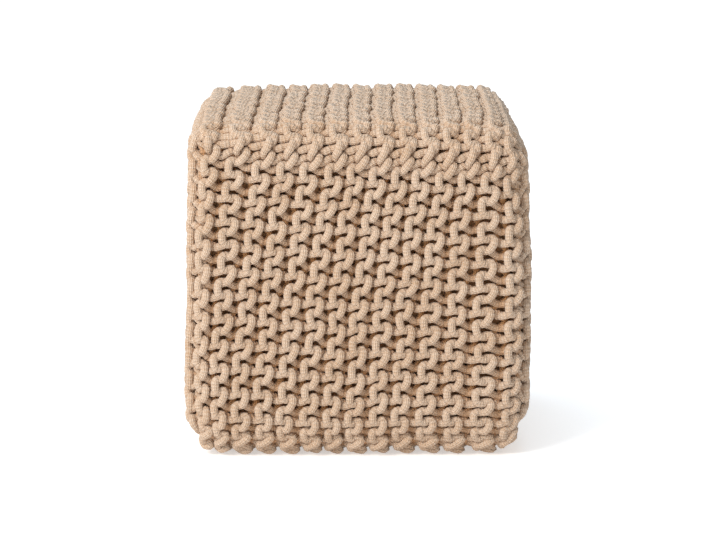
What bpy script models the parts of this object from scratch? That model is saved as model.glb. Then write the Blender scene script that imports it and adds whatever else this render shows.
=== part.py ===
"""Knitted pouf: one filled garter-knit wrap and two side panels sewn into it.

Metres, +Z up, the front faces -Y. The origin is the middle of the underside.

The wrap is a knitted strip that runs up the front, over the top, down the back and under the
base. It is modelled as the filled form, with its ridges raised. Each side panel lies in a
shallow recess of the wrap, which is the sewn seam.
"""

import math
from typing import NamedTuple

import bmesh
import bpy
from mathutils import Vector

# Overall size, over the ridges.
WIDTH = 0.400
DEPTH = 0.400
HEIGHT = 0.398

# How far each face falls away from its middle to its corners.
TOP_CROWN = 0.008
FACE_CROWN = 0.004
SIDE_CROWN = 0.003
# How far each side leans in above the share of the height where it is widest.
TOP_NARROWING = 0.006
WIDEST_AT = 0.25

# Rounding of the long edges. The filling has settled to the right, where the edges are softer.
FACE_ROUNDING = 0.038
EDGE_ROUNDING = [
    {"side": "left", "top": 0.032, "base": 0.052},
    {"side": "right", "top": 0.066, "base": 0.080},
]
# Rounding across the width, by height share between the base edge and the top edge.
SIDE_ROUNDING = [
    {"height": 0.00, "left": 0.047, "right": 0.052},
    {"height": 0.30, "left": 0.029, "right": 0.029},
    {"height": 0.70, "left": 0.028, "right": 0.031},
    {"height": 1.00, "left": 0.028, "right": 0.046},
]

# The knit: ridges across the wrap and across a side panel. A lower fullness makes the valleys
# narrower. The lean is how far the knit is sheared to the right at the back, as a share of half
# the width, and to the left at the front.
WRAP_RIDGES = 14
SIDE_RIDGES = 14
RIDGE_HEIGHT = 0.007
RIDGE_FULLNESS = 0.7
RIDGE_LEAN = 0.022
# Share of the ridge's height that the floor presses flat.
PRESSED_SHARE = 0.36
# Places across one ridge, from one valley to the next.
RIDGE_PHASES = [0.0, 0.18, 0.38, 0.62, 0.82]

# The seam between the wrap and a side panel.
SEAM_ANGLE = math.radians(45)
RECESS_DEPTH = 0.028
SEAM_GROOVE = 0.0016
PIECE_GAP = 0.0003
SEAM_PULL = 0.012

# Steps of the meshes.
FLAT_STEPS = 4
CORNER_STEPS = 6
MIN_COLUMN_STEP = 0.001
PANEL_HEIGHT_SHARES = [0.0, 0.03, 0.07, 0.12, 0.20, 0.35, 0.50, 0.65, 0.80, 0.88, 0.93, 0.97, 1.0]

SAND = (0.62, 0.49, 0.36, 1.0)
SHADED_SAND = (0.57, 0.45, 0.33, 1.0)
YARN_ROUGHNESS = 0.92
SMOOTH_ANGLE = math.radians(50)


def smooth_mix(low, high, share):
    """Blend from low to high with a level start and end."""
    share = min(max(share, 0.0), 1.0)
    return low + (high - low) * share * share * (3.0 - 2.0 * share)


def side_name(x):
    """Name of the side that x lies on."""
    return "left" if x < 0 else "right"


def edge_rounding(x, edge):
    """Rounding of the top or base edge at x, in the height direction."""
    left, right = EDGE_ROUNDING
    return left[edge] + (right[edge] - left[edge]) * (x / WIDTH + 0.5)


def side_rounding(x, height_share):
    """Rounding across the width on x's side, at a height share."""
    side = side_name(x)
    for low, high in zip(SIDE_ROUNDING, SIDE_ROUNDING[1:]):
        if height_share <= high["height"]:
            share = (height_share - low["height"]) / (high["height"] - low["height"])
            return smooth_mix(low[side], high[side], share)
    return SIDE_ROUNDING[-1][side]


def half_width(height_share):
    """Half the width, which narrows a little towards the top."""
    return WIDTH / 2 - TOP_NARROWING * max(0.0, height_share - WIDEST_AT) ** 2


def fall_from_middle(a, b):
    """Share of a crown that is lost at the place (a, b) of a face, each from -1 to 1."""
    return min(1.0, (a * a + b * b) / 2)


def crowned(point, normal):
    """Pull a point of the rounded block in by the crown of the face that it lies on."""
    across = point.x / (WIDTH / 2)
    along = point.y / (DEPTH / 2)
    up = 2 * point.z / HEIGHT - 1
    top_fall = TOP_CROWN * fall_from_middle(across, along) if normal.z > 0 else 0.0
    fall = Vector((SIDE_CROWN * fall_from_middle(along, up),
                   FACE_CROWN * fall_from_middle(across, up),
                   top_fall))
    return point - normal * fall


def ridge_valley(phase, pressed=0.0):
    """Depth below the ridge's crest at a phase of 0 to 1 from valley to valley."""
    depth = RIDGE_HEIGHT * (1.0 - math.sin(math.pi * (phase % 1.0)) ** RIDGE_FULLNESS)
    return max(0.0, depth - pressed * RIDGE_HEIGHT)


class Station(NamedTuple):
    """A place round the wrap's loop.

    core_y and core_z say where the rounding's centre lies, from -1 to 1 on each axis, and
    angle is the way that the skin faces.
    """

    core_y: float
    core_z: float
    angle: float


def stations():
    """Places round the wrap's loop, from the front's lower end, up and over."""
    corners = [(-1, -1), (-1, 1), (1, 1), (1, -1)]
    places = []
    for face, (start_y, start_z) in enumerate(corners):
        end_y, end_z = corners[(face + 1) % 4]
        facing = math.pi * (1.0 - face / 2)
        for step in range(FLAT_STEPS):
            share = step / FLAT_STEPS
            core_y = start_y + (end_y - start_y) * share
            core_z = start_z + (end_z - start_z) * share
            places.append(Station(core_y, core_z, facing))
        for step in range(CORNER_STEPS):
            share = step / CORNER_STEPS
            places.append(Station(end_y, end_z, facing - share * math.pi / 2))
    return places


def wrap_point(across, station):
    """Crest of the skin at -1 to 1 across the wrap, and its outward normal."""
    height_share = (station.core_z + 1) / 2
    out = math.cos(station.angle)
    up = math.sin(station.angle)
    across += RIDGE_LEAN * station.core_y * (1 - across * across)
    side = math.copysign(1.0, across)
    round_x = side_rounding(side, height_share)
    flat = half_width(height_share) - round_x
    arc = abs(across) * (flat + round_x * SEAM_ANGLE)
    turned = max(0.0, (arc - flat) / round_x)
    spread = math.cos(turned)
    x = side * (min(arc, flat) + round_x * math.sin(turned))
    round_z = edge_rounding(x, "top" if up > 0 else "base")
    low = edge_rounding(x, "base")
    high = HEIGHT - edge_rounding(x, "top")
    y = station.core_y * (DEPTH / 2 - FACE_ROUNDING) + FACE_ROUNDING * spread * out
    z = low + height_share * (high - low) + round_z * spread * up
    normal = Vector((side * math.sin(turned) / round_x,
                     spread * out / FACE_ROUNDING,
                     spread * up / round_z)).normalized()
    return crowned(Vector((x, y, z)), normal), normal


def pressed_share(station):
    """How much of the ridge's height the floor presses flat at a station."""
    return PRESSED_SHARE * max(0.0, -math.sin(station.angle))


def across_places(ridges):
    """Places from -1 to 1 across a row of ridges, each with its phase on its ridge."""
    places = [(2 * (ridge + phase) / ridges - 1, phase)
              for ridge in range(ridges) for phase in RIDGE_PHASES]
    return places + [(1.0, 0.0)]


def wrap_rows():
    """Rows of points across the wrap, one for each station of its loop."""
    rows = []
    for station in stations():
        row = []
        for across, phase in across_places(WRAP_RIDGES):
            crest, normal = wrap_point(across, station)
            row.append(crest - normal * ridge_valley(phase, pressed_share(station)))
        rows.append(row)
    return rows


def add_faces(mesh, rows, closed):
    """Bridge the rows of vertices with quads, round again if closed, and return the rows."""
    grid = [[mesh.verts.new(point) for point in row] for row in rows]
    pairs = list(zip(grid, grid[1:]))
    if closed:
        pairs.append((grid[-1], grid[0]))
    for row, following in pairs:
        for k in range(len(row) - 1):
            mesh.faces.new((row[k], row[k + 1], following[k + 1], following[k]))
    return grid


def close_rim(mesh, rim, x):
    """Close a rim with a straight wall to the plane at x and a flat face there."""
    foot = [mesh.verts.new((x, vert.co.y, vert.co.z)) for vert in rim]
    for k, vert in enumerate(rim):
        after = (k + 1) % len(rim)
        mesh.faces.new((vert, foot[k], foot[after], rim[after]))
    mesh.faces.new(foot)


def knit_material(name, colour):
    """Matte knitted cotton."""
    material = bpy.data.materials.new(name)
    material.use_nodes = True
    shader = material.node_tree.nodes["Principled BSDF"]
    shader.inputs["Base Color"].default_value = colour
    shader.inputs["Roughness"].default_value = YARN_ROUGHNESS
    shader.inputs["Metallic"].default_value = 0.0
    return material


def add_object(name, mesh, material):
    """Make an object of a bmesh, with faces out and soft shading."""
    bmesh.ops.recalc_face_normals(mesh, faces=mesh.faces[:])
    data = bpy.data.meshes.new(name)
    mesh.to_mesh(data)
    mesh.free()
    data.materials.append(material)
    data.shade_smooth()
    data.set_sharp_from_angle(angle=SMOOTH_ANGLE)
    piece = bpy.data.objects.new(name, data)
    bpy.context.scene.collection.objects.link(piece)
    return piece


def build_wrap():
    """The filled wrap, with a recess on each side for its panel."""
    mesh = bmesh.new()
    grid = add_faces(mesh, wrap_rows(), closed=True)
    close_rim(mesh, [row[0] for row in grid], -(WIDTH / 2 - RECESS_DEPTH))
    close_rim(mesh, [row[-1] for row in grid], WIDTH / 2 - RECESS_DEPTH)
    return add_object("wrap", mesh, knit_material("wrap_knit", SAND))


def seam_loop(side):
    """The wrap's edge on one side, as (y, z) places round its loop."""
    loop = []
    for station in stations():
        crest, normal = wrap_point(side, station)
        valley = crest - normal * ridge_valley(0.0, pressed_share(station))
        loop.append((valley.y, valley.z))
    return loop


def heights_in_loop(loop, y):
    """Lowest and highest height of the loop at the depth y."""
    heights = []
    for (y0, z0), (y1, z1) in zip(loop, loop[1:] + loop[:1]):
        if min(y0, y1) <= y <= max(y0, y1) and y0 != y1:
            heights.append(z0 + (z1 - z0) * (y - y0) / (y1 - y0))
    return min(heights), max(heights)


def panel_skin(side, y, z):
    """Crest of the side's skin at (y, z), as a distance from the middle plane."""
    round_top = edge_rounding(side * WIDTH / 2, "top")
    round_base = edge_rounding(side * WIDTH / 2, "base")
    over_top = max(0.0, z - (HEIGHT - round_top)) / round_top
    under_base = max(0.0, round_base - z) / round_base
    over_face = max(0.0, abs(y) - (DEPTH / 2 - FACE_ROUNDING)) / FACE_ROUNDING
    share = (z - round_base) / (HEIGHT - round_top - round_base)
    share = min(max(share, 0.0), 1.0)
    round_x = side_rounding(side, share)
    spread = math.sqrt(1.0 - over_top ** 2 - under_base ** 2 - over_face ** 2)
    skin = half_width(share) - round_x * (1.0 - spread)
    return skin - SIDE_CROWN * fall_from_middle(y / (DEPTH / 2), 2 * z / HEIGHT - 1)


def panel_columns(loop):
    """Depths y of the panel's columns, each with its phase on its ridge."""
    upright = [abs(y) for (y, z), place in zip(loop, stations()) if abs(place.core_z) < 1]
    edge = min(upright) - SEAM_GROOVE
    columns = {across * edge: phase for across, phase in across_places(SIDE_RIDGES)}
    pitch = 2 * edge / SIDE_RIDGES
    for y, z in loop:
        from_edge = edge - abs(y)
        if MIN_COLUMN_STEP < from_edge < pitch:
            columns[y] = ((y + edge) / pitch) % 1.0
    return sorted(columns.items())


def panel_rows(side):
    """Columns of points over a side panel, from front to back."""
    loop = seam_loop(side)
    rows = []
    for y, phase in panel_columns(loop):
        base, top = heights_in_loop(loop, y)
        base += SEAM_GROOVE
        top -= SEAM_GROOVE
        row = []
        for share in PANEL_HEIGHT_SHARES:
            z = base + (top - base) * share
            from_end = min(z - base, top - z)
            seam_pull = RIDGE_HEIGHT * max(0.0, 1.0 - from_end / SEAM_PULL)
            depth = max(ridge_valley(phase), seam_pull)
            row.append(Vector((side * (panel_skin(side, y, z) - depth), y, z)))
        rows.append(row)
    return rows


def build_side_panel(side):
    """The square knitted panel sewn into one side, -1 for the left and 1 for the right."""
    mesh = bmesh.new()
    grid = add_faces(mesh, panel_rows(side), closed=False)
    front = grid[0]
    back = grid[-1]
    top = [column[-1] for column in grid[1:-1]]
    base = [column[0] for column in grid[1:-1]]
    rim = front + top + back[::-1] + base[::-1]
    close_rim(mesh, rim, side * (WIDTH / 2 - RECESS_DEPTH + PIECE_GAP))
    name = "side_" + side_name(side)
    return add_object(name, mesh, knit_material(name + "_knit", SHADED_SAND))


def main():
    """Clear the scene and build the three pieces."""
    for thing in list(bpy.data.objects):
        bpy.data.objects.remove(thing, do_unlink=True)
    build_wrap()
    build_side_panel(-1)
    build_side_panel(1)


main()
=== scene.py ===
"""Garter-knit cube pouf: its cord cover, sewn seams and filling, on a pale studio floor.

Lengths are in metres where a docstring names no other unit.
"""

from __future__ import annotations

import logging
import math
from dataclasses import dataclass, field
from enum import Enum

import bpy
import numpy as np
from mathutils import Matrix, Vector

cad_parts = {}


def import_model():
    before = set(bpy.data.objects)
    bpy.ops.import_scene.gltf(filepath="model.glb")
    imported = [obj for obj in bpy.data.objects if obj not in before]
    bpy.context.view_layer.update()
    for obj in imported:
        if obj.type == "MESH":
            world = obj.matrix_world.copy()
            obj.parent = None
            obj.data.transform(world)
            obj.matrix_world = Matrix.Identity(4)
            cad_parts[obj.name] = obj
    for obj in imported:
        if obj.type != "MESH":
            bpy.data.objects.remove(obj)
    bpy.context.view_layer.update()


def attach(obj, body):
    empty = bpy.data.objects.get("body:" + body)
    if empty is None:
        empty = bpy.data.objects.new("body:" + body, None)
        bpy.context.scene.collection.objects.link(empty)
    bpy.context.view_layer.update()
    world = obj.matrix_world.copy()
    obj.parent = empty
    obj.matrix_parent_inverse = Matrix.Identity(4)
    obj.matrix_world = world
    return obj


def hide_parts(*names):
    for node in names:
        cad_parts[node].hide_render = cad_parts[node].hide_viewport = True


Array = np.ndarray
Colour = tuple[float, float, float, float]
Waypoint = tuple[float, float, float]
Sockets = list[tuple[str, str]]

LOG = logging.getLogger("pouf")

TAU = 2 * math.pi
QUARTER = math.pi / 2
SHORTEST = 1e-12
FLOOR_HEIGHT = 0.0
METRES_PER_MILLIMETRE = 0.001

# The group that gives the cord its colour and paints its shade.
TINT_AND_SHADE_GROUP = "cotton_tint_and_shade"
BRAID_GROUP = "braid_height"
RECESS_VALUES = "recess"
CORD_MAP = "cord"


class Side(Enum):
    """Which side of the pouf, as the sign of x."""

    LEFT = -1.0
    RIGHT = 1.0


class Slot(Enum):
    """Material slots of the part."""

    WRAP = "wrap_knit"
    SIDE = "side_knit"


# ------------------------------------------------------------------ form


def smooth_rows(places: Array, knots: tuple[float, ...], values: tuple[float, ...]) -> Array:
    """Pass smoothly from the value at one knot to the value at the next.

    Args:
        places: where values are wanted.
        knots: the places that have a value of their own, rising.
        values: the value at each knot.

    Returns:
        One value for each place.
    """
    row = np.interp(places, knots, np.arange(len(knots)))
    below = np.clip(np.floor(row), 0, len(knots) - 2).astype(int)
    part = row - below
    part = part * part * (3 - 2 * part)
    held = np.asarray(values)
    return held[below] + (held[below + 1] - held[below]) * part


def fall_from_middle(a: Array, b: Array) -> Array:
    """Share of a crown that is lost at (a, b), each from -1 to 1."""
    return np.minimum(1.0, (a * a + b * b) / 2)


def unit(vectors: Array) -> Array:
    """Rows of vectors, each made one long."""
    return vectors / np.maximum(np.linalg.norm(vectors, axis=-1, keepdims=True), SHORTEST)


def add_object(name: str, data: bpy.types.ID) -> bpy.types.Object:
    """Put a mesh, a light or a camera into the scene."""
    added = bpy.data.objects.new(name, data)
    bpy.context.scene.collection.objects.link(added)
    return added


@dataclass(frozen=True)
class PoufForm:
    """The skin that the ridge crests touch. The front is at -y and the pouf stands on z = 0."""

    width: float = 0.400
    depth: float = 0.400
    height: float = 0.398
    top_crown: float = 0.008
    face_crown: float = 0.004
    side_crown: float = 0.003
    top_narrowing: float = 0.006
    widest_at: float = 0.25
    face_rounding: float = 0.038
    top_rounding: tuple[float, float] = (0.032, 0.066)
    base_rounding: tuple[float, float] = (0.050, 0.070)
    side_heights: tuple[float, ...] = (0.0, 0.30, 0.70, 1.0)
    side_left: tuple[float, ...] = (0.047, 0.029, 0.028, 0.028)
    side_right: tuple[float, ...] = (0.045, 0.029, 0.031, 0.046)
    seam_left: float = math.radians(44)
    seam_right: float = math.radians(53)
    left_sag: float = 0.0035
    sag_middle: float = 0.10
    sag_spread: float = 0.22
    ridge_lean: float = 0.022
    least_spread: float = 0.3
    slope_step: float = 0.002

    def edge_rounding(self, x: Array, ends: tuple[float, float]) -> Array:
        """Rounding at x of an edge that runs from its left to its right value."""
        return ends[0] + (ends[1] - ends[0]) * (x / self.width + 0.5)

    def side_rounding(self, side: Array, share: Array) -> Array:
        """Rounding of the upright edges on a side (-1 or 1) at a share of the height."""
        left = smooth_rows(share, self.side_heights, self.side_left)
        right = smooth_rows(share, self.side_heights, self.side_right)
        return np.where(side > 0, right, left)

    def half_width(self, side: Array, share: Array) -> Array:
        """Half the width on a side (-1 or 1) at a share of the height."""
        sag = self.left_sag * np.exp(-((share - self.sag_middle) / self.sag_spread) ** 2)
        narrowed = self.top_narrowing * np.maximum(0, share - self.widest_at) ** 2
        return self.width / 2 - narrowed + np.where(side < 0, sag, 0.0)

    def crowned(self, points: Array, normals: Array) -> Array:
        """Draw the skin in towards the edges of each face.

        Args:
            points: places on the plain rounded block.
            normals: outward normals there.

        Returns:
            The same places with each face crowned.
        """
        across = points[:, 0] / (self.width / 2)
        along = points[:, 1] / (self.depth / 2)
        up = 2 * points[:, 2] / self.height - 1
        top = np.where(normals[:, 2] > 0, self.top_crown * fall_from_middle(across, along), 0.0)
        fall = np.stack([self.side_crown * fall_from_middle(along, up),
                         self.face_crown * fall_from_middle(across, up), top], axis=1)
        return points - normals * fall

    def wrap(self, across: Array, core_y: Array, core_z: Array,
             angle: Array) -> tuple[Array, Array]:
        """Find places on the wrap.

        Args:
            across: from -1 at the left seam to 1 at the right seam.
            core_y: place on the core along the depth, from -1 to 1.
            core_z: place on the core up the height, from -1 to 1.
            angle: way that the skin faces round the core, 0 for +y and a quarter turn for +z.

        Returns:
            The places and their outward normals.
        """
        share = (core_z + 1) / 2
        out, up = np.cos(angle), np.sin(angle)
        across = across + self.ridge_lean * core_y * (1 - across * across)
        side = np.where(across < 0, -1.0, 1.0)
        round_x = self.side_rounding(side, share)
        flat = self.half_width(side, share) - round_x
        seam = np.where(side > 0, self.seam_right, self.seam_left)
        arc = np.abs(across) * (flat + round_x * seam)
        turned = np.maximum(0, (arc - flat) / round_x)
        spread = np.cos(turned)
        x = side * (np.minimum(arc, flat) + round_x * np.sin(turned))
        low = self.edge_rounding(x, self.base_rounding)
        over = self.edge_rounding(x, self.top_rounding)
        round_z = np.where(up > 0, over, low)
        y = core_y * (self.depth / 2 - self.face_rounding) + self.face_rounding * spread * out
        z = low + share * (self.height - over - low) + round_z * spread * up
        normals = unit(np.stack([side * np.sin(turned) / round_x,
                                 spread * out / self.face_rounding,
                                 spread * up / round_z], axis=1))
        return self.crowned(np.stack([x, y, z], axis=1), normals), normals

    def panel_reach(self, side: Side, y: Array, z: Array) -> Array:
        """Measure how far out a side panel's skin lies.

        Args:
            side: the panel's side.
            y: places along the depth.
            z: places up the height.

        Returns:
            Distances from the middle plane.
        """
        edge = np.asarray(side.value * self.width / 2)
        over = float(self.edge_rounding(edge, self.top_rounding))
        low = float(self.edge_rounding(edge, self.base_rounding))
        over_top = np.maximum(0, z - (self.height - over)) / over
        under_base = np.maximum(0, low - z) / low
        over_face = np.maximum(0, np.abs(y) - (self.depth / 2 - self.face_rounding))
        over_face = over_face / self.face_rounding
        share = np.clip((z - low) / (self.height - over - low), 0, 1)
        round_x = self.side_rounding(np.full_like(share, side.value), share)
        room = 1 - over_top ** 2 - under_base ** 2 - over_face ** 2
        spread = np.sqrt(np.clip(room, self.least_spread, 1))
        fall = fall_from_middle(y / (self.depth / 2), 2 * z / self.height - 1)
        crown = self.side_crown * fall
        return self.half_width(side.value, share) - round_x * (1 - spread) - crown

    def panel(self, side: Side, y: Array, z: Array) -> tuple[Array, Array]:
        """Find places on a side panel's skin and their outward normals, at (y, z)."""
        step = self.slope_step
        rise_y = self.panel_reach(side, y + step, z) - self.panel_reach(side, y - step, z)
        rise_z = self.panel_reach(side, y, z + step) - self.panel_reach(side, y, z - step)
        slope_y, slope_z = rise_y / (2 * step), rise_z / (2 * step)
        points = np.stack([side.value * self.panel_reach(side, y, z), y, z], axis=1)
        normals = np.stack([np.full_like(y, side.value), -slope_y, -slope_z], axis=1)
        return points, unit(normals)


@dataclass(frozen=True)
class LoopTrack:
    """The way round the pouf at one x, from the base's middle up the front and back again."""

    form: PoufForm
    x: float
    corner_steps: int = 24

    def table(self) -> tuple[Array, Array, Array, Array]:
        """Lengths along the way, with the core place and the angle at each."""
        form = self.form
        x = np.asarray(self.x)
        low = float(form.edge_rounding(x, form.base_rounding))
        over = float(form.edge_rounding(x, form.top_rounding))
        flat_y = form.depth / 2 - form.face_rounding
        turn = np.linspace(0, QUARTER, self.corner_steps + 1)
        corners = [(-1, -1, 3 * QUARTER, low), (-1, 1, 2 * QUARTER, over),
                   (1, 1, QUARTER, over), (1, -1, 0.0, low)]
        rows = [(0.0, -1.0, 3 * QUARTER, 0.0, 0.0)]
        for core_y, core_z, start, rounding in corners:
            for step in turn:
                angle = start - step
                y = core_y * flat_y + form.face_rounding * math.cos(angle)
                middle = low if core_z < 0 else form.height - over
                rows.append((core_y, core_z, angle, y, middle + rounding * math.sin(angle)))
        rows.append((0.0, -1.0, -QUARTER, 0.0, 0.0))
        held = np.array(rows)
        steps = np.hypot(np.diff(held[:, 3]), np.diff(held[:, 4]))
        return np.concatenate([[0.0], np.cumsum(steps)]), held[:, 0], held[:, 1], held[:, 2]

    def stations(self, share: Array) -> tuple[Array, Array, Array]:
        """Core places and angles at shares of the way round, which repeat each whole turn."""
        length, core_y, core_z, angle = self.table()
        along = np.mod(share, 1.0) * length[-1]
        return (np.interp(along, length, core_y), np.interp(along, length, core_z),
                np.interp(along, length, angle))


def seam_line(form: PoufForm, side: Side, share: Array) -> tuple[Array, Array]:
    """Places on a side's seam and their outward normals, at shares of the way round."""
    stations = LoopTrack(form, side.value * form.width / 2).stations(share)
    return form.wrap(np.full_like(share, side.value), *stations)


# ------------------------------------------------------------------ knitting


@dataclass(frozen=True)
class StitchShape:
    """The cord's way through one garter stitch. Two rows of stitches make one ridge.

    Each way is given by waypoints: the place across in ridges, the place along in stitches,
    and the height over the middle of the fabric in millimetres. It repeats one stitch further on.
    """

    right_bar: tuple[Waypoint, ...]
    left_bar: tuple[Waypoint, ...]

    def way(self, odd: bool, turns: Array) -> Array:
        """Follow the cord smoothly through its waypoints.

        Args:
            odd: whether the row's front bars are its left ones.
            turns: places along the row, in stitches.

        Returns:
            A place across, a place along and a height in millimetres for each turn.
        """
        knots = np.array(self.left_bar if odd else self.right_bar)
        count = len(knots)
        place = turns * count
        first = np.floor(place).astype(int)
        part = (place - first)[:, None]
        corners = []
        for offset in (-1, 0, 1, 2):
            index = first + offset
            corner = knots[np.mod(index, count)].copy()
            corner[:, 1] += np.floor_divide(index, count)
            corners.append(corner)
        before, near, far, after = corners
        slope_near, slope_far = (far - before) / 2, (after - near) / 2
        bend = part * part * (3 - 2 * part)
        return (near + (far - near) * bend + slope_near * part * (1 - part) ** 2
                - slope_far * part ** 2 * (1 - part))


class StitchKind(Enum):
    """Shapes of the stitch: plain, pulled open at the top's front edge, aslant under the base,
    and closed up on the top."""

    PLAIN = StitchShape(
        ((0.745, 0.00, 6.2), (0.76, 0.15, 5.8), (0.73, 0.265, 3.4), (0.53, 0.235, 1.6),
         (0.22, 0.115, 2.3), (-0.03, 0.065, -2.0), (-0.19, 0.30, -6.2), (-0.08, 0.535, -4.4),
         (0.13, 0.565, -2.6), (0.36, 0.65, 0.3), (0.53, 0.71, 3.6), (0.64, 0.775, 5.8)),
        ((0.27, 0.46, 6.2), (0.27, 0.63, 5.6), (0.34, 0.73, 4.4), (0.52, 0.74, 1.2),
         (0.74, 0.665, -1.0), (0.98, 0.555, -3.0), (1.21, 0.83, -6.4), (1.08, 1.11, -4.4),
         (0.86, 1.165, -1.4), (0.64, 1.19, 1.4), (0.45, 1.18, 4.4), (0.31, 1.25, 6.0)))
    OPEN = StitchShape(
        ((0.745, 0.00, 6.2), (0.76, 0.15, 5.6), (0.73, 0.265, 2.4), (0.53, 0.235, -3.4),
         (0.22, 0.115, -4.6), (-0.03, 0.065, -5.6), (-0.19, 0.30, -7.2), (-0.08, 0.535, -6.2),
         (0.13, 0.565, -5.4), (0.36, 0.65, -3.6), (0.53, 0.71, 1.8), (0.64, 0.775, 5.6)),
        ((0.46, 0.46, 6.8), (0.49, 0.76, 6.0), (0.53, 1.02, 2.0), (0.64, 0.88, -4.6),
         (0.82, 0.50, -1.2), (1.06, 0.60, 0.8), (1.32, 0.90, -5.0), (1.30, 1.23, -2.6),
         (1.12, 1.09, 0.8), (0.93, 0.92, -0.6), (0.68, 0.96, -5.0), (0.42, 1.15, 2.6)))
    BASE = StitchShape(
        ((0.60, 0.00, 6.4), (0.78, 0.17, 6.0), (0.84, 0.30, 3.4), (0.60, 0.29, 0.6),
         (0.22, 0.13, -1.0), (-0.03, 0.07, -4.0), (-0.19, 0.30, -7.0), (-0.08, 0.535, -5.4),
         (0.10, 0.60, -2.6), (0.22, 0.66, 1.3), (0.30, 0.72, 4.0), (0.44, 0.83, 5.8)),
        ((0.27, 0.46, 4.0), (0.27, 0.63, 3.6), (0.34, 0.73, 2.4), (0.52, 0.74, -0.6),
         (0.74, 0.665, -3.0), (0.98, 0.555, -5.0), (1.21, 0.83, -7.4), (1.08, 1.11, -6.4),
         (0.86, 1.165, -4.0), (0.64, 1.19, -1.0), (0.45, 1.18, 2.2), (0.31, 1.25, 3.8)))
    TOP = StitchShape(
        ((0.68, 0.00, 5.6), (0.71, 0.17, 1.8), (0.66, 0.265, 0.6), (0.48, 0.235, 2.6),
         (0.20, 0.10, 1.6), (-0.07, 0.05, 0.0), (-0.21, 0.30, -7.4), (-0.12, 0.545, -1.6),
         (0.07, 0.575, 0.8), (0.30, 0.66, 2.2), (0.50, 0.715, 2.6), (0.62, 0.82, 1.8)),
        ((0.20, 0.46, 5.8), (0.20, 0.66, 5.2), (0.27, 0.745, 4.6), (0.46, 0.755, 4.0),
         (0.70, 0.67, -2.0), (0.92, 0.56, -6.0), (1.15, 0.83, -8.4), (1.02, 1.11, -6.4),
         (0.80, 1.165, -3.4), (0.58, 1.185, 2.6), (0.38, 1.165, 4.4), (0.24, 1.25, 5.0)))


@dataclass(frozen=True)
class GarterStitch:
    """The sizes of a garter stitch and the way of its cord."""

    left_lead: float = 0.46
    half_depth: float = 0.0065
    pitch: float = 0.027
    cord_radius: float = 0.0047
    steps: int = 24

    def trace(self, odd: bool, turns: Array, lift: Array,
              mixture: dict[StitchKind, Array]) -> tuple[Array, Array, Array]:
        """Follow the cord along one row of stitches.

        Args:
            odd: whether the row's front bars are its left ones.
            turns: places along the row, in stitches.
            lift: how much further along the row a place is drawn for its height.
            mixture: the share of each shape of stitch at each place.

        Returns:
            The place across in ridges from the row's own ridge, the place along in stitches,
            and the height over the middle of the fabric in metres.
        """
        way = sum(share[:, None] * kind.value.way(odd, turns) for kind, share in mixture.items())
        height = way[:, 2] * METRES_PER_MILLIMETRE
        return way[:, 0], way[:, 1] + lift * height / self.pitch, height


@dataclass(frozen=True)
class Drift:
    """Slow uneven shifts of the stitches, as a hand gives them."""

    seed: int
    waves: int = 14
    across: float = 0.030
    along: float = 0.035
    height: float = 0.0005
    period: int = 55
    turns_along: tuple[int, int] = (2, 24)
    turns_across: float = 0.45

    def shifts(self, ridge: Array, stitch: Array) -> tuple[Array, Array, Array]:
        """Shifts at places on the fabric.

        Args:
            ridge: places across, in ridges.
            stitch: places along, in stitches.

        Returns:
            Shifts across in ridges, along in stitches, and in height in metres.
        """
        rng = np.random.default_rng(self.seed)
        shifts = []
        for size in (self.across, self.along, self.height):
            total = np.zeros_like(ridge)
            for _ in range(self.waves):
                along = int(rng.integers(*self.turns_along)) / self.period
                across = rng.uniform(-self.turns_across, self.turns_across)
                total += np.sin(TAU * (across * ridge + along * stitch + rng.random()))
            shifts.append(total * size * math.sqrt(2 / self.waves))
        return shifts[0], shifts[1], shifts[2]


EASED_RIDGES = (0.0, 2.0, 6.0, 8.0, 10.0, 12.0, 14.0)
EVEN_ROW = (0.0,) * len(EASED_RIDGES)
TOP_ROW = (0.20, 0.90, 0.86, 0.76, 0.70, 0.61, 0.00)


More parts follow.
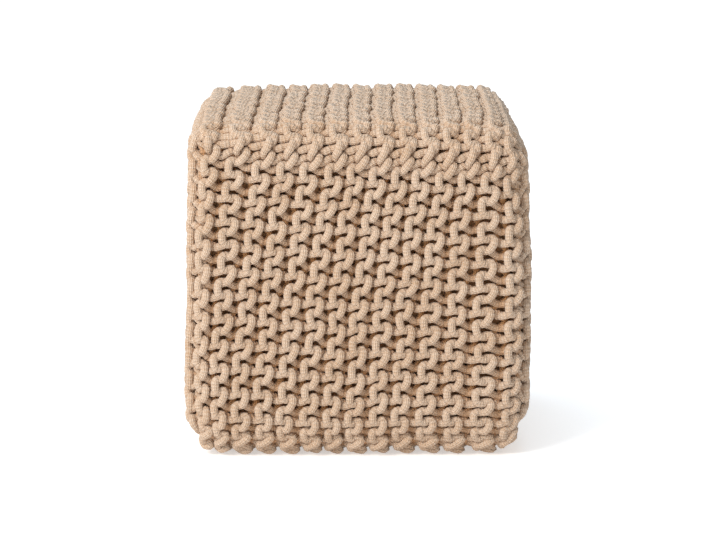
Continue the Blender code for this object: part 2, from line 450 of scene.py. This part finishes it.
@dataclass(frozen=True)
class Ease:
    """How far the strip's ridges and rows have eased away from even spacing.

    Each table has one line for each of the rows, with one shift for each of the ridges. The
    strip's right edge is drawn round its corner by seam_draw, in ridges, and the ridges between
    the seams don't follow it.
    """

    seam_draw: float = 0.23
    ridges: tuple[float, ...] = EASED_RIDGES
    rows: tuple[float, ...] = (0.0, 8.5, 12.5, 16.5, 18.5, 20.0, 24.0, 31.0, 40.0, 55.0)
    across: tuple[tuple[float, ...], ...] = (
        EVEN_ROW,
        (-0.15, -0.37, -0.37, -0.47, -0.54, -0.35, 0.00),
        (-0.10, 0.02, -0.12, -0.27, -0.37, -0.28, 0.00),
        (0.00, 0.33, 0.32, 0.15, -0.06, -0.15, 0.00),
        (0.10, 0.60, 0.67, 0.50, 0.30, 0.10, 0.00),
        (0.20, 0.90, 1.00, 0.88, 0.70, 0.40, 0.00),
        TOP_ROW, TOP_ROW, EVEN_ROW, EVEN_ROW)
    along: tuple[tuple[float, ...], ...] = (
        EVEN_ROW,
        (0.05, 0.00, -0.06, 0.09, 0.30, 0.38, 0.40),
        (0.06, 0.06, 0.07, 0.18, 0.25, 0.28, 0.28),
        (0.10, 0.13, 0.21, 0.25, 0.26, 0.22, 0.20),
        (0.10, 0.13, 0.21, 0.25, 0.26, 0.22, 0.20),
        (0.10, 0.13, 0.20, 0.24, 0.24, 0.20, 0.18),
        EVEN_ROW, EVEN_ROW, EVEN_ROW, EVEN_ROW)

    def between(self, table: tuple[tuple[float, ...], ...], ridge: Array, row: Array) -> Array:
        """Read one of the tables, smoothly, at places on the strip.

        Args:
            table: a value for each ridge in each row.
            ridge: places across, in ridges.
            row: places along, in stitches, within one turn round the pouf.

        Returns:
            The value at each place.
        """
        total = np.zeros_like(row)
        place = np.interp(ridge, self.ridges, np.arange(len(self.ridges)))
        for column in range(len(self.ridges)):
            weight = np.clip(1 - np.abs(place - column), 0, 1)
            values = tuple(line[column] for line in table)
            total += weight * smooth_rows(row, self.rows, values)
        return total

    def drawn(self, line: tuple[float, ...]) -> tuple[float, ...]:
        """A line of shifts across as the drawn edge leaves it, to a hundredth of a ridge."""
        if line == EVEN_ROW:
            return line
        last = self.ridges[-1]
        inner = (round(shift - self.seam_draw * ridge / last, 2)
                 for ridge, shift in zip(self.ridges[1:-1], line[1:-1]))
        return line[0], *inner, line[-1]

    def shifts(self, ridge: Array, row: Array) -> tuple[Array, Array]:
        """Shifts across in ridges and along in stitches, at places on the strip."""
        across = tuple(self.drawn(line) for line in self.across)
        return self.between(across, ridge, row), self.between(self.along, ridge, row)


@dataclass
class CordMesh:
    """Swept cords gathered into one mesh."""

    sides: int = 8
    verts: list[Array] = field(default_factory=list)
    faces: list[Array] = field(default_factory=list)
    lengths: list[Array] = field(default_factory=list)
    recess: list[Array] = field(default_factory=list)
    count: int = 0

    def add(self, path: Array, up: Array, radius: float, recess: Array) -> None:
        """Sweep one cord. The first and last points only give the end directions.

        Args:
            path: the cord's middle line.
            up: the fabric's outward normals along it.
            radius: the cord's radius.
            recess: 0 at the skin to 1 at the fabric's back, along the line.
        """
        tangent = unit(np.gradient(path, axis=0))
        side = unit(np.cross(tangent, up))
        lift = np.cross(side, tangent)
        steps = np.linalg.norm(np.diff(path, axis=0), axis=1)
        along = np.concatenate([[0.0], np.cumsum(steps)])
        path, side, lift, along, recess = (a[1:-1] for a in (path, side, lift, along, recess))
        angle = (np.arange(self.sides) / self.sides * TAU)[None, :, None]
        ring = np.cos(angle) * side[:, None] + np.sin(angle) * lift[:, None]
        verts = path[:, None] + radius * ring
        rows = np.arange(len(path) - 1)[:, None] * self.sides
        k = np.arange(self.sides)[None, :]
        after = (k + 1) % self.sides
        following = rows + self.sides
        quads = np.stack([rows + k, following + k, following + after, rows + after], axis=-1)
        spans = np.stack([along[:-1], along[1:]], axis=1)
        self.verts.append(verts.reshape(-1, 3))
        self.faces.append(quads.reshape(-1, 4) + self.count)
        self.lengths.append(np.repeat(spans, self.sides, axis=0))
        self.recess.append(np.repeat(recess, self.sides))
        self.count += len(path) * self.sides

    def build(self, name: str) -> bpy.types.Object:
        """Make the object, with what lies under the floor pressed flat on it.

        Args:
            name: the piece's name.

        Returns:
            The object, with a map of (round, along) in turns and metres.
        """
        verts = np.concatenate(self.verts)
        verts[:, 2] = np.maximum(verts[:, 2], FLOOR_HEIGHT)
        faces = np.concatenate(self.faces)
        lengths = np.concatenate(self.lengths)
        mesh = bpy.data.meshes.new(name)
        mesh.vertices.add(len(verts))
        mesh.vertices.foreach_set("co", verts.astype(np.float32).ravel())
        mesh.loops.add(faces.size)
        mesh.loops.foreach_set("vertex_index", faces.astype(np.int32).ravel())
        mesh.polygons.add(len(faces))
        mesh.polygons.foreach_set("loop_start", np.arange(0, faces.size, 4, dtype=np.int32))
        mesh.polygons.foreach_set("use_smooth", np.ones(len(faces), dtype=bool))
        mesh.update()
        k = np.arange(len(faces)) % self.sides
        first, last = k / self.sides, (k + 1) / self.sides
        low, high = lengths[:, 0], lengths[:, 1]
        spots = np.stack([first, low, first, high, last, high, last, low], axis=1)
        cord_map = mesh.uv_layers.new(name=CORD_MAP)
        cord_map.data.foreach_set("uv", spots.astype(np.float32).ravel())
        # The recess values are the mask for the painted shade in the cord's colour.
        recess = mesh.attributes.new(RECESS_VALUES, "FLOAT", "POINT")
        recess.data.foreach_set("value", np.concatenate(self.recess).astype(np.float32))
        return add_object(name, mesh)


@dataclass(frozen=True)
class GarterSheet:
    """A garter-knit piece whose ridges lie side by side along one edge."""

    form: PoufForm
    stitch: GarterStitch
    drift: Drift
    ridges: int = 14

    def place(self, ridge: Array, row: Array) -> tuple[Array, Array]:
        """Places on the skin and outward normals, at ridges across and stitches along."""
        raise NotImplementedError

    def sink(self, row: Array) -> Array:
        """How far the fabric is drawn below the skin, at stitches along."""
        return np.zeros_like(row)

    def lift(self, row: Array) -> Array:
        """How much the fabric's front is drawn along over its back, at stitches along."""
        return np.zeros_like(row)

    def mixture(self, row: Array) -> dict[StitchKind, Array]:
        """The share of each shape of stitch, at stitches along."""
        return {StitchKind.PLAIN: np.ones_like(row)}

    def course(self, mesh: CordMesh, number: int, start: float, end: float) -> None:
        """Lay one row of stitches.

        Args:
            mesh: the mesh that takes the cord.
            number: the row's number, from the left.
            start: where it starts, in stitches.
            end: where it ends, in stitches.
        """
        stitch = self.stitch
        steps = round((end - start) * stitch.steps)
        odd = number % 2 == 1
        turns = start - odd * stitch.left_lead + np.arange(-1, steps + 2) / stitch.steps
        across, along, height = stitch.trace(odd, turns, self.lift(turns), self.mixture(turns))
        ridge = number // 2 + across
        shift_across, shift_along, shift_height = self.drift.shifts(ridge, along)
        ridge, along = ridge + shift_across, along + shift_along
        points, normals = self.place(ridge, along)
        below = stitch.cord_radius + stitch.half_depth - height - shift_height + self.sink(along)
        path = points - normals * below[:, None]
        # The recess values feed the painted shade in the cord's colour.
        recess = 0.5 - height / (2 * stitch.half_depth)
        mesh.add(path, normals, stitch.cord_radius, recess)

    def knit(self, name: str, start: float, end: float) -> bpy.types.Object:
        """Knit all rows between two places along, as one piece."""
        mesh = CordMesh()
        for number in range(2 * self.ridges):
            self.course(mesh, number, start, end)
        return mesh.build(name)


@dataclass(frozen=True)
class WrapKnit(GarterSheet):
    """The long strip up the front, over the top, down the back and under the base."""

    stitches: int = 55
    base_tightening: float = 0.03
    row_drop: float = 0.08
    ease: Ease = Ease()
    lift_rows: tuple[float, ...] = (0.0, 8.0, 13.0, 20.0, 24.0, 55.0)
    lifts: tuple[float, ...] = (-0.2, 0.0, 0.176, 0.176, 0.0, -0.2)
    base_rows: tuple[float, ...] = (0.0, 6.9, 7.9, 47.0, 49.0)
    base_shares: tuple[float, ...] = (1.0, 1.0, 0.0, 0.0, 1.0)
    shape_rows: tuple[float, ...] = (18.2, 18.6, 19.4, 19.9, 34.0, 35.0)
    open_shares: tuple[float, ...] = (0.0, 1.0, 1.0, 0.0, 0.0, 0.0)
    top_shares: tuple[float, ...] = (0.0, 0.0, 0.0, 1.0, 1.0, 0.0)

    def lift(self, row: Array) -> Array:
        """How much the fabric's front is drawn along over its back, at stitches along."""
        return smooth_rows(np.mod(row, self.stitches), self.lift_rows, self.lifts)

    def mixture(self, row: Array) -> dict[StitchKind, Array]:
        """The share of each shape of stitch, at stitches along."""
        place = np.mod(row, self.stitches)
        opened = smooth_rows(place, self.shape_rows, self.open_shares)
        top = smooth_rows(place, self.shape_rows, self.top_shares)
        base = smooth_rows(place, self.base_rows, self.base_shares)
        return {StitchKind.PLAIN: 1 - opened - top - base, StitchKind.OPEN: opened,
                StitchKind.TOP: top, StitchKind.BASE: base}

    def place(self, ridge: Array, row: Array) -> tuple[Array, Array]:
        """Places on the wrap and outward normals, at ridges across and stitches along."""
        shift_across, shift_along = self.ease.shifts(ridge, np.mod(row, self.stitches))
        ridge, row = ridge + shift_across, row + shift_along
        across = 2 * ridge / self.ridges - 1
        middle = float(np.median(across)) * self.form.width / 2
        share = row / self.stitches
        share = share - self.base_tightening * np.sin(TAU * share) / TAU
        front = np.clip(np.sin(TAU * share), 0, 1)
        slope = self.row_drop * across * self.form.width / 2 * front
        share = share - slope / (self.stitches * self.stitch.pitch)
        core_y, core_z, angle = LoopTrack(self.form, middle).stations(share)
        return self.form.wrap(across, core_y, core_z, angle)


@dataclass(frozen=True)
class PanelKnit(GarterSheet):
    """A square knitted panel sewn into one side of the wrap."""

    side: Side = Side.LEFT
    stitches: int = 13
    rim: float = 0.005
    tuck: float = 0.008
    tuck_stitches: float = 0.55
    seam_steps: int = 720
    depth_steps: int = 180

    def outline(self) -> tuple[Array, Array, Array]:
        """Depths along the seam with the seam's lowest and highest height at each."""
        share = np.linspace(0, 1, self.seam_steps + 1)
        seam, _ = seam_line(self.form, self.side, share)
        upper = seam[:, 2] > self.form.height / 2
        depth = np.linspace(seam[:, 1].min(), seam[:, 1].max(), self.depth_steps + 1)
        heights = []
        for half in (seam[~upper], seam[upper]):
            order = np.argsort(half[:, 1])
            heights.append(np.interp(depth, half[order, 1], half[order, 2]))
        return depth, heights[0], heights[1]

    def place(self, ridge: Array, row: Array) -> tuple[Array, Array]:
        """Places on the panel's skin and outward normals, at ridges across and stitches up."""
        depth, low, high = self.outline()
        edge = depth[-1] - self.rim
        y = edge * (2 * ridge / self.ridges - 1)
        base = np.interp(y, depth, low) + self.rim
        top = np.interp(y, depth, high) - self.rim
        z = base + (top - base) * row / self.stitches
        return self.form.panel(self.side, y, z)

    def sink(self, row: Array) -> Array:
        """How far the row's ends are tucked under the seam, at stitches up."""
        from_end = np.minimum(row, self.stitches - row) / self.tuck_stitches
        return self.tuck * np.clip(1 - from_end, 0, 1) ** 2


@dataclass(frozen=True)
class SeamLacing:
    """The cord that sews a side panel into the wrap, over and over along the seam."""

    form: PoufForm
    side: Side
    turns: int = 104
    steps: int = 12
    cord_radius: float = 0.0028
    half_width: float = 0.0070
    half_depth: float = 0.0035
    below: float = 0.0125
    facets: int = 6
    # A fixed recess, which gives the lacing a little painted shade in its colour.
    recess: float = 0.5

    def build(self, name: str) -> bpy.types.Object:
        """Wind the lacing round the seam's loop, as one piece of that name."""
        count = self.turns * self.steps
        share = np.arange(-1, count + 2) / count
        seam, normals = seam_line(self.form, self.side, share)
        forward = unit(np.gradient(seam, axis=0))
        across = np.cross(forward, normals)
        phase = TAU * share * self.turns
        path = (seam + across * (self.half_width * np.cos(phase))[:, None]
                + normals * (self.half_depth * np.sin(phase) - self.below)[:, None])
        mesh = CordMesh(sides=self.facets)
        mesh.add(path, normals, self.cord_radius, np.full(len(share), self.recess))
        return mesh.build(name)


@dataclass(frozen=True)
class Filling:
    """The stuffed body seen between the stitches, whose dark brown is painted shade for the gaps.
    """

    form: PoufForm
    below: float = 0.0205
    columns: int = 33
    stations: int = 96
    panel_rows: int = 25
    panel_thickness: float = 0.012

    def closed_body(self, name: str, verts: Array,
                    faces: list[tuple[int, ...]]) -> bpy.types.Object:
        """Make a smooth object of vertices and faces."""
        mesh = bpy.data.meshes.new(name)
        mesh.from_pydata(verts.tolist(), [], faces)
        mesh.shade_smooth()
        return add_object(name, mesh)

    def wrap_body(self) -> bpy.types.Object:
        """The main stuffed body, closed at both sides."""
        share = np.arange(self.stations) / self.stations
        place = LoopTrack(self.form, 0.0).stations(share)
        verts: list[Array] = []
        for across in np.linspace(-1, 1, self.columns):
            points, normals = self.form.wrap(np.full_like(share, across), *place)
            verts.append(points - normals * self.below)
        n = self.stations
        faces: list[tuple[int, ...]] = []
        for column in range(self.columns - 1):
            for k in range(n):
                after = (k + 1) % n
                near, far = column * n, (column + 1) * n
                faces.append((near + k, near + after, far + after, far + k))
        faces.append(tuple(range(n - 1, -1, -1)))
        last = (self.columns - 1) * n
        faces.append(tuple(range(last, last + n)))
        return self.closed_body("wrap_filling", np.concatenate(verts), faces)

    def side_body(self, knit: PanelKnit) -> bpy.types.Object:
        """Make the thin stuffed layer behind a side panel.

        Args:
            knit: the panel.

        Returns:
            The layer, closed round its rim.
        """
        rows = self.panel_rows
        ridge, row = np.meshgrid(np.linspace(0, knit.ridges, rows),
                                 np.linspace(0, knit.stitches, rows))
        points, normals = knit.place(ridge.ravel(), row.ravel())
        outer = points - normals * self.below
        inner = outer - np.array([knit.side.value * self.panel_thickness, 0, 0])
        count = rows * rows
        faces: list[tuple[int, ...]] = []
        for low in range(0, count - rows, rows):
            for near in range(low, low + rows - 1):
                quad = (near, near + 1, near + rows + 1, near + rows)
                faces.append(quad)
                faces.append(tuple(count + v for v in reversed(quad)))
        last = count - 1
        rim = [*range(rows - 1), *range(rows - 1, last, rows),
               *range(last, count - rows, -1), *range(count - rows, 0, -rows)]
        for near, far in zip(rim, rim[1:] + rim[:1]):
            faces.append((near, count + near, count + far, far))
        name = f"side_{knit.side.name.lower()}_filling"
        return self.closed_body(name, np.concatenate([outer, inner]), faces)


# ------------------------------------------------------------------ finishes


@dataclass
class NodeSheet:
    """Short ways to add nodes to one tree.

    A Mix node has sockets of one name for each kind of value, so its colour ones go by number.
    """

    tree: bpy.types.NodeTree
    mix_first: int = 6
    mix_second: int = 7
    mix_result: int = 2

    def add(self, kind: str, **settings: object) -> bpy.types.Node:
        """Add a node and set its own settings."""
        node = self.tree.nodes.new(kind)
        for key, value in settings.items():
            setattr(node, key, value)
        return node

    def feed(self, socket: bpy.types.NodeSocket, value: object) -> None:
        """Link a socket to another, or set its value."""
        if isinstance(value, bpy.types.NodeSocket):
            self.tree.links.new(value, socket)
        else:
            socket.default_value = value

    def math(self, operation: str, *values: object) -> bpy.types.NodeSocket:
        """Result of one operation on one to three values."""
        node = self.add("ShaderNodeMath", operation=operation)
        for socket, value in zip(node.inputs, values):
            self.feed(socket, value)
        return node.outputs[0]

    def mix(self, factor: object, first: object, second: object) -> bpy.types.NodeSocket:
        """Colour between two colours."""
        node = self.add("ShaderNodeMix", data_type="RGBA")
        self.feed(node.inputs["Factor"], factor)
        self.feed(node.inputs[self.mix_first], first)
        self.feed(node.inputs[self.mix_second], second)
        return node.outputs[self.mix_result]

    def fed(self, kind: str, values: dict[str, object], **settings: object) -> bpy.types.Node:
        """Add a node, set its own settings and feed its named sockets."""
        node = self.add(kind, **settings)
        for label, value in values.items():
            self.feed(node.inputs[label], value)
        return node

    def use(self, group: str, **values: object) -> bpy.types.NodeOutputs:
        """Outputs of a shared group whose named sockets are fed."""
        tree = bpy.data.node_groups[group]
        return self.fed("ShaderNodeGroup", values, node_tree=tree).outputs

    def parts(self, vector: object) -> bpy.types.NodeOutputs:
        """X, Y and Z of a vector."""
        return self.fed("ShaderNodeSeparateXYZ", {"Vector": vector}).outputs

    def noise(self, place: object, scale: float, detail: float) -> bpy.types.NodeSocket:
        """Noise between 0 and 1 at a place."""
        values = {"Vector": place, "Scale": scale, "Detail": detail}
        return self.fed("ShaderNodeTexNoise", values).outputs["Fac"]

    def ranged(self, value: object, ends: tuple[float, float],
               results: tuple[float, float] = (0.0, 1.0),
               interpolation: str = "LINEAR") -> bpy.types.NodeSocket:
        """Bring a value from one range to another.

        Args:
            value: the value.
            ends: the range that it comes from.
            results: what the ends become. Values past an end become the same.
            interpolation: how it passes from one end to the other.

        Returns:
            The new value.
        """
        values = {"Value": value, "From Min": ends[0], "From Max": ends[1],
                  "To Min": results[0], "To Max": results[1]}
        node = self.fed("ShaderNodeMapRange", values, interpolation_type=interpolation)
        return node.outputs["Result"]


def new_group(name: str, inputs: Sockets, outputs: Sockets) -> bpy.types.NodeTree:
    """Make a shader node group with named sockets.

    Args:
        name: the group's name.
        inputs: name and kind of each input.
        outputs: name and kind of each output.

    Returns:
        The empty group.
    """
    group = bpy.data.node_groups.new(name, "ShaderNodeTree")
    for way, sockets in (("INPUT", inputs), ("OUTPUT", outputs)):
        for label, kind in sockets:
            group.interface.new_socket(name=label, in_out=way, socket_type=f"NodeSocket{kind}")
    return group


@dataclass(frozen=True)
class BraidHeight:
    """Height of the small plaits round a braided cord, with loose fibres."""

    plait_share: float = 0.5
    fibre_scale: float = 700.0
    fibre_detail: float = 2.0

    def group(self) -> bpy.types.NodeTree:
        """Build the shared group."""
        group = new_group(BRAID_GROUP, [("Map", "Vector"), ("Plaits", "Float"),
                                        ("Pitch", "Float"), ("Fuzz", "Float")],
                          [("Height", "Float")])
        sheet = NodeSheet(group)
        source = sheet.add("NodeGroupInput").outputs
        way = sheet.parts(source["Map"])
        around = sheet.math("MULTIPLY", way["X"], source["Plaits"])
        along = sheet.math("DIVIDE", way["Y"], source["Pitch"])
        rising, falling = (
            sheet.math("SINE", sheet.math("MULTIPLY", sheet.math(operation, around, along), TAU))
            for operation in ("ADD", "SUBTRACT"))
        plait = sheet.math("MULTIPLY", rising, falling)
        place = sheet.add("ShaderNodeTexCoord").outputs["Object"]
        noise = sheet.noise(place, self.fibre_scale, self.fibre_detail)
        fibre = sheet.math("MULTIPLY", noise, source["Fuzz"])
        height = sheet.math("ADD", sheet.math("MULTIPLY", plait, self.plait_share), fibre)
        sheet.feed(sheet.add("NodeGroupOutput").inputs["Height"], height)
        return group


@dataclass(frozen=True)
class CottonTint:
    """Colour of cotton cord: flecks, uneven from length to length, and painted shade."""

    detail: float = 2.0
    fine_scale: float = 520.0
    fine_ends: tuple[float, float] = (0.42, 0.66)
    fine_share: float = 0.22
    broad_scale: float = 32.0
    broad_ends: tuple[float, float] = (0.35, 0.75)
    broad_share: float = 0.25
    # The braid's grooves are painted darker, toward the fleck colour, as shade.
    groove_shade_ends: tuple[float, float] = (0.65, 0.05)
    groove_shade_share: float = 0.45
    # Recesses are painted a darker, warmer colour as shade, over this range of recess values.
    shade_recess_ends: tuple[float, float] = (0.40, 1.05)

    def group(self) -> bpy.types.NodeTree:
        """Build the shared group."""
        group = new_group(TINT_AND_SHADE_GROUP, [("Light", "Color"), ("Fleck", "Color"), ("Deep", "Color"),
                                       ("Recess", "Float"), ("Relief", "Float")],
                          [("Colour", "Color")])
        sheet = NodeSheet(group)
        source = sheet.add("NodeGroupInput").outputs
        place = sheet.add("ShaderNodeTexCoord").outputs["Object"]
        fine = sheet.ranged(sheet.noise(place, self.fine_scale, self.detail), self.fine_ends)
        broad = sheet.ranged(sheet.noise(place, self.broad_scale, self.detail), self.broad_ends)
        # Painted shade: the low places of the braid are mixed toward the fleck colour.
        shaded_groove = sheet.ranged(source["Relief"], self.groove_shade_ends)
        share = sheet.math("ADD", sheet.math("MULTIPLY", fine, self.fine_share),
                           sheet.math("MULTIPLY", broad, self.broad_share))
        share = sheet.math("ADD", share, sheet.math("MULTIPLY", shaded_groove, self.groove_shade_share))
        flecked_and_groove_shaded = sheet.mix(share, source["Light"], source["Fleck"])
        # Painted shade: the recess values blend in the dark, warm shade colour.
        depth = sheet.ranged(source["Recess"], self.shade_recess_ends, interpolation="SMOOTHSTEP")
        colour = sheet.mix(depth, flecked_and_groove_shaded, source["Deep"])
        sheet.feed(sheet.add("NodeGroupOutput").inputs["Colour"], colour)
        return group


@dataclass(frozen=True)
class CottonCord:
    """Matte braided cotton cord."""

    name: str
    light: Colour = (0.71, 0.565, 0.445, 1)
    # Fleck colour, which is also the painted shade in the braid's grooves.
    fleck: Colour = (0.45, 0.27, 0.145, 1)
    # Painted shade for where the cord lies recessed, dark and warm.
    deep: Colour = (0.50, 0.25, 0.10, 1)
    plaits: float = 6.0
    pitch: float = 0.0068
    fuzz: float = 0.45
    bump: float = 0.8
    relief: float = 0.0016
    roughness: float = 0.88
    sheen: float = 0.10
    gloss: float = 0.2

    def material(self) -> bpy.types.Material:
        """Build the cord's material from the shared groups."""
        material = bpy.data.materials.new(self.name)
        material.use_nodes = True
        sheet = NodeSheet(material.node_tree)
        shader = material.node_tree.nodes["Principled BSDF"]
        recess = sheet.add("ShaderNodeAttribute", attribute_name=RECESS_VALUES).outputs["Fac"]
        around = sheet.add("ShaderNodeUVMap", uv_map=CORD_MAP).outputs["UV"]
        height = sheet.use(BRAID_GROUP, Map=around, Plaits=self.plaits, Pitch=self.pitch,
                           Fuzz=self.fuzz)["Height"]
        tint = sheet.use(TINT_AND_SHADE_GROUP, Light=self.light, Fleck=self.fleck, Deep=self.deep,
                         Recess=recess, Relief=height)
        bump = sheet.fed("ShaderNodeBump", {"Strength": self.bump, "Distance": self.relief,
                                            "Height": height})
        sheet.feed(shader.inputs["Base Color"], tint["Colour"])
        sheet.feed(shader.inputs["Normal"], bump.outputs["Normal"])
        shader.inputs["Roughness"].default_value = self.roughness
        shader.inputs["Sheen Weight"].default_value = self.sheen
        shader.inputs["Specular IOR Level"].default_value = self.gloss
        return material


@dataclass(frozen=True)
class PlainMatte:
    """An even matte finish, such as the filling's dark brown, which is painted shade."""

    name: str
    colour: Colour
    roughness: float = 0.95

    def material(self) -> bpy.types.Material:
        """Build the plain material."""
        material = bpy.data.materials.new(self.name)
        material.use_nodes = True
        shader = material.node_tree.nodes["Principled BSDF"]
        shader.inputs["Base Color"].default_value = self.colour
        shader.inputs["Roughness"].default_value = self.roughness
        return material


@dataclass(frozen=True)
class FloorPaint(PlainMatte):
    """A matte floor that glows, and looks a little paler than the light it gives."""

    glow: Colour = (0.34, 0.34, 0.34, 1)
    glow_seen: Colour = (0.50, 0.49, 0.48, 1)

    def material(self) -> bpy.types.Material:
        """Build the floor's material."""
        material = super().material()
        shader = material.node_tree.nodes["Principled BSDF"]
        sheet = NodeSheet(material.node_tree)
        seen = sheet.add("ShaderNodeLightPath").outputs["Is Camera Ray"]
        sheet.feed(shader.inputs["Emission Color"], sheet.mix(seen, self.glow, self.glow_seen))
        shader.inputs["Emission Strength"].default_value = 1
        return material


# ------------------------------------------------------------------ assembly


@dataclass
class Pouf:
    """The whole pouf, piece by piece."""

    form: PoufForm = PoufForm()
    stitch: GarterStitch = GarterStitch()
    fill: float = 0.85
    wrap_seed: int = 11
    left_seed: int = 29
    right_seed: int = 31
    overrun: float = 0.25
    wrap_sections: tuple[tuple[str, float, float], ...] = (
        ("wrap_knit_front", 7.25, 21.25), ("wrap_knit_top", 21.25, 34.25),
        ("wrap_knit_back", 34.25, 47.25), ("wrap_knit_base", 47.25, 62.25))
    cord: CottonCord = CottonCord("wrap_cord")
    side_cord: CottonCord = CottonCord("side_cord")
    # The filling's dark brown is painted shade for the gaps between the stitches.
    shaded_filling: PlainMatte = PlainMatte("filling_painted_shade", (0.42, 0.22, 0.10, 1))

    def dress(self, piece: bpy.types.Object, finish: bpy.types.Material, slot: Slot,
              *nodes: str) -> None:
        """Give a piece its finish and tell what it stands for.

        Args:
            piece: the piece.
            finish: its material.
            slot: the part's material slot; not used.
            nodes: the part's nodes that it stands for.
        """
        piece.data.materials.append(finish)
        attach(piece, "root")
        if nodes:
            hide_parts(*nodes)
        LOG.info("%s: %d faces", piece.name, len(piece.data.polygons))

    def build_wrap(self, shaded_filling: bpy.types.Material) -> None:
        """Fill the wrap and knit its strip round it."""
        body = Filling(self.form).wrap_body()
        self.dress(body, shaded_filling, Slot.WRAP, "wrap")
        finish = self.cord.material()
        knit = WrapKnit(self.form, self.stitch, Drift(self.wrap_seed))
        for name, start, end in self.wrap_sections:
            self.dress(knit.knit(name, start, end), finish, Slot.WRAP, "wrap")

    def build_side(self, side: Side, shaded_filling: bpy.types.Material,
                   finish: bpy.types.Material) -> None:
        """Fill and knit one side panel, and lace it into the wrap.

        Args:
            side: which side.
            shaded_filling: the filling's material.
            finish: the cord's material.
        """
        node = f"side_{side.name.lower()}"
        drift = Drift(self.left_seed if side is Side.LEFT else self.right_seed)
        knit = PanelKnit(self.form, self.stitch, drift, side=side)
        body = Filling(self.form).side_body(knit)
        self.dress(body, shaded_filling, Slot.SIDE, node)
        panel = knit.knit(f"{node}_knit", -self.overrun, knit.stitches + self.overrun)
        self.dress(panel, finish, Slot.SIDE, node)
        lacing = SeamLacing(self.form, side).build(f"{node}_lacing")
        self.dress(lacing, finish, Slot.SIDE)

    def build(self) -> None:
        """Build all of the pouf."""
        CottonTint().group()
        BraidHeight().group()
        shaded_filling = self.shaded_filling.material()
        self.build_wrap(shaded_filling)
        finish = self.side_cord.material()
        for side in Side:
            self.build_side(side, shaded_filling, finish)


@dataclass(frozen=True)
class SoftLight:
    """A square soft light."""

    name: str
    place: tuple[float, float, float]
    size: float
    power: float
    colour: tuple[float, float, float]

    def hang(self, aim: tuple[float, float, float]) -> None:
        """Hang the light so that it faces a place."""
        data = bpy.data.lights.new(self.name, "AREA")
        data.energy, data.size, data.color = self.power, self.size, self.colour
        light = add_object(self.name, data)
        light.location = self.place
        facing = (Vector(aim) - Vector(self.place)).to_track_quat("-Z", "Y")
        light.rotation_euler = facing.to_euler()


@dataclass(frozen=True)
class Studio:
    """A pale floor, soft lights and the camera."""

    floor_size: float = 24.0
    floor_paint: FloorPaint = FloorPaint("floor_paint", (0.78, 0.78, 0.78, 1))
    left_strength: float = 1.12
    right_strength: float = 0.33
    sides_end: float = 0.9
    lights: tuple[SoftLight, ...] = (
        SoftLight("key", (-2.1, -2.8, 2.5), 1.2, 110, (1.0, 0.98, 0.95)),
        SoftLight("sky", (0.0, 0.8, 2.5), 1.6, 22, (0.46, 0.74, 1.0)))
    aim: tuple[float, float, float] = (0.0, 0.0, 0.1872)
    camera_distance: float = 3.492
    elevation: float = 0.1774
    yaw: float = -0.0058
    lens: float = 145.8

    def floor(self) -> None:
        """Lay the floor."""
        half = self.floor_size / 2
        mesh = bpy.data.meshes.new("floor")
        corners = [(x, y, FLOOR_HEIGHT)
                   for x, y in ((-half, -half), (half, -half), (half, half), (-half, half))]
        mesh.from_pydata(corners, [], [(0, 1, 2, 3)])
        mesh.materials.append(self.floor_paint.material())
        add_object("floor", mesh)

    def world(self) -> None:
        """Surround the scene with white light that is stronger from the left."""
        world = bpy.data.worlds.new("studio")
        world.use_nodes = True
        sheet = NodeSheet(world.node_tree)
        back = world.node_tree.nodes["Background"]
        way = sheet.parts(sheet.add("ShaderNodeTexCoord").outputs["Generated"])
        strength = sheet.ranged(way["X"], (-self.sides_end, self.sides_end),
                                (self.left_strength, self.right_strength), "SMOOTHSTEP")
        back.inputs["Color"].default_value = (1, 1, 1, 1)
        sheet.feed(back.inputs["Strength"], strength)
        bpy.context.scene.world = world

    def camera(self) -> None:
        """Set the camera where the photo was taken from."""
        data = bpy.data.cameras.new("camera")
        data.lens = self.lens
        camera = add_object("camera", data)
        flat = self.camera_distance * math.cos(self.elevation)
        camera.location = (self.aim[0] + flat * math.sin(self.yaw),
                           self.aim[1] - flat * math.cos(self.yaw),
                           self.aim[2] + self.camera_distance * math.sin(self.elevation))
        camera.rotation_euler = (QUARTER - self.elevation, 0, self.yaw)
        bpy.context.scene.camera = camera

    def build(self) -> None:
        """Build the studio."""
        self.floor()
        self.world()
        for light in self.lights:
            light.hang(self.aim)
        self.camera()
        bpy.context.scene.view_settings.view_transform = "Standard"


def main() -> None:
    """Build the pouf and its studio in order."""
    logging.basicConfig(level=logging.INFO, format="%(name)s %(message)s")
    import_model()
    Pouf().build()
    Studio().build()


if __name__ == "__main__":
    main()
